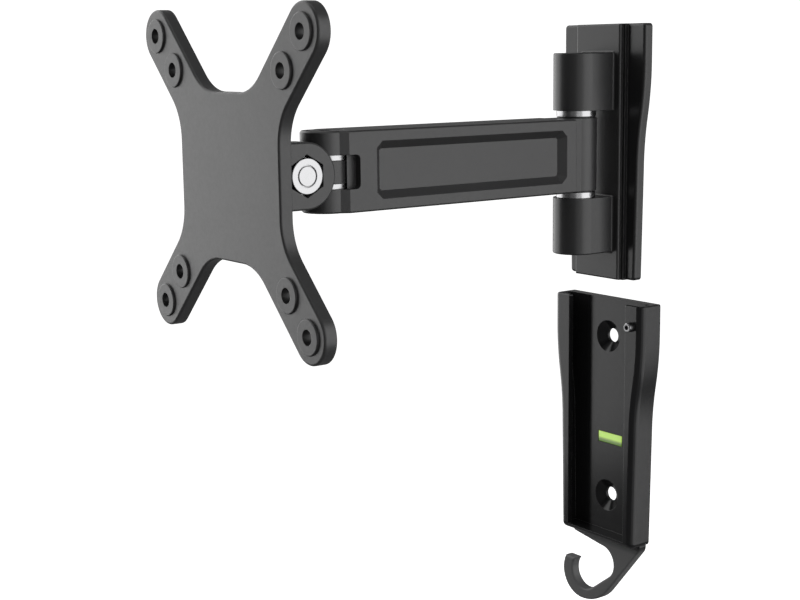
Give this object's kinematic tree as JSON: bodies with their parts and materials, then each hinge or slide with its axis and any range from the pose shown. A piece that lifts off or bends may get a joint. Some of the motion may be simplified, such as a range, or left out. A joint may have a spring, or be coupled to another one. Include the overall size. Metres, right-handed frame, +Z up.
{
  "type": "full motion tv wall mount",
  "caption": "Swing arm screen mount with a tilting cross plate, a wall swivel on a lift-off sliding block, and a wall receiver with a level vial and cable hook.",
  "frame": {"origin": "midpoint of the two wall screw holes, on the wall plane at the receiver's back face", "axes": "+Z up, +X to the right when looking at the wall, +Y into the wall, so the screen plate faces -Y"},
  "size_m": [0.1194, 0.1923, 0.2651],
  "materials": {
    "receiver_black": "gloss powder coat",
    "vial_clear": "clear acrylic",
    "vial_green": "tinted liquid",
    "screw_steel": "zinc plated",
    "block_black": "satin powder coat",
    "bolt_black": "black oxide",
    "nut_steel": "zinc plated",
    "cap_plastic": "moulded",
    "washer_steel": "polished",
    "bush_nylon": "nylon",
    "arm_black": "satin powder coat",
    "knuckle_black": "satin powder coat",
    "friction_fibre": "pressed fibre",
    "nut_bright": "bright zinc",
    "plate_black": "fine textured powder coat"
  },
  "bodies": {
    "receiver": {"wall_receiver": "receiver_black", "level_vial": "vial_clear", "vial_liquid": "vial_green"},
    "lock_screw": {"lock_screw": "screw_steel"},
    "block": {"slide_block": "block_black", "wall_pivot_bolt": "bolt_black", "wall_pivot_nut": "nut_steel", "upper_pivot_cap": "cap_plastic", "lower_pivot_cap": "cap_plastic", "upper_swivel_washer": "washer_steel", "lower_swivel_washer": "washer_steel"},
    "arm": {"swing_arm": "arm_black", "upper_barrel_bushing": "bush_nylon", "lower_barrel_bushing": "bush_nylon", "head_pan_bolt": "bolt_black", "head_pan_nut": "nut_steel"},
    "head": {"head_knuckle": "knuckle_black", "knuckle_bushing": "bush_nylon", "upper_pan_washer": "washer_steel", "lower_pan_washer": "washer_steel", "left_friction_washer": "friction_fibre", "right_friction_washer": "friction_fibre"},
    "plate": {"vesa_plate": "plate_black", "tilt_bolt": "nut_bright", "tilt_spring_washer": "washer_steel", "tilt_nut": "nut_bright"}
  },
  "joints": [
    {"name": "block_slide", "type": "slide", "parent": "receiver", "child": "block", "axis": [0, 0, 1], "range_m": [-0.1147, 0]},
    {"name": "lock_screw_travel", "type": "slide", "parent": "receiver", "child": "lock_screw", "axis": [0, 1, 0], "range_m": [-0.003, 0.0002]},
    {"name": "wall_swivel", "type": "hinge", "parent": "block", "child": "arm", "pos_m": [0, -0.0242, 0.1165], "axis": [0, 0, 1], "range_deg": [-90, 90]},
    {"name": "head_pan", "type": "hinge", "parent": "arm", "child": "head", "pos_m": [0, -0.1502, 0.1165], "axis": [0, 0, 1], "range_deg": [-54, 54]},
    {"name": "head_tilt", "type": "hinge", "parent": "head", "child": "plate", "pos_m": [0, -0.1682, 0.1165], "axis": [1, 0, 0], "range_deg": [-15, 15]}
  ]
}
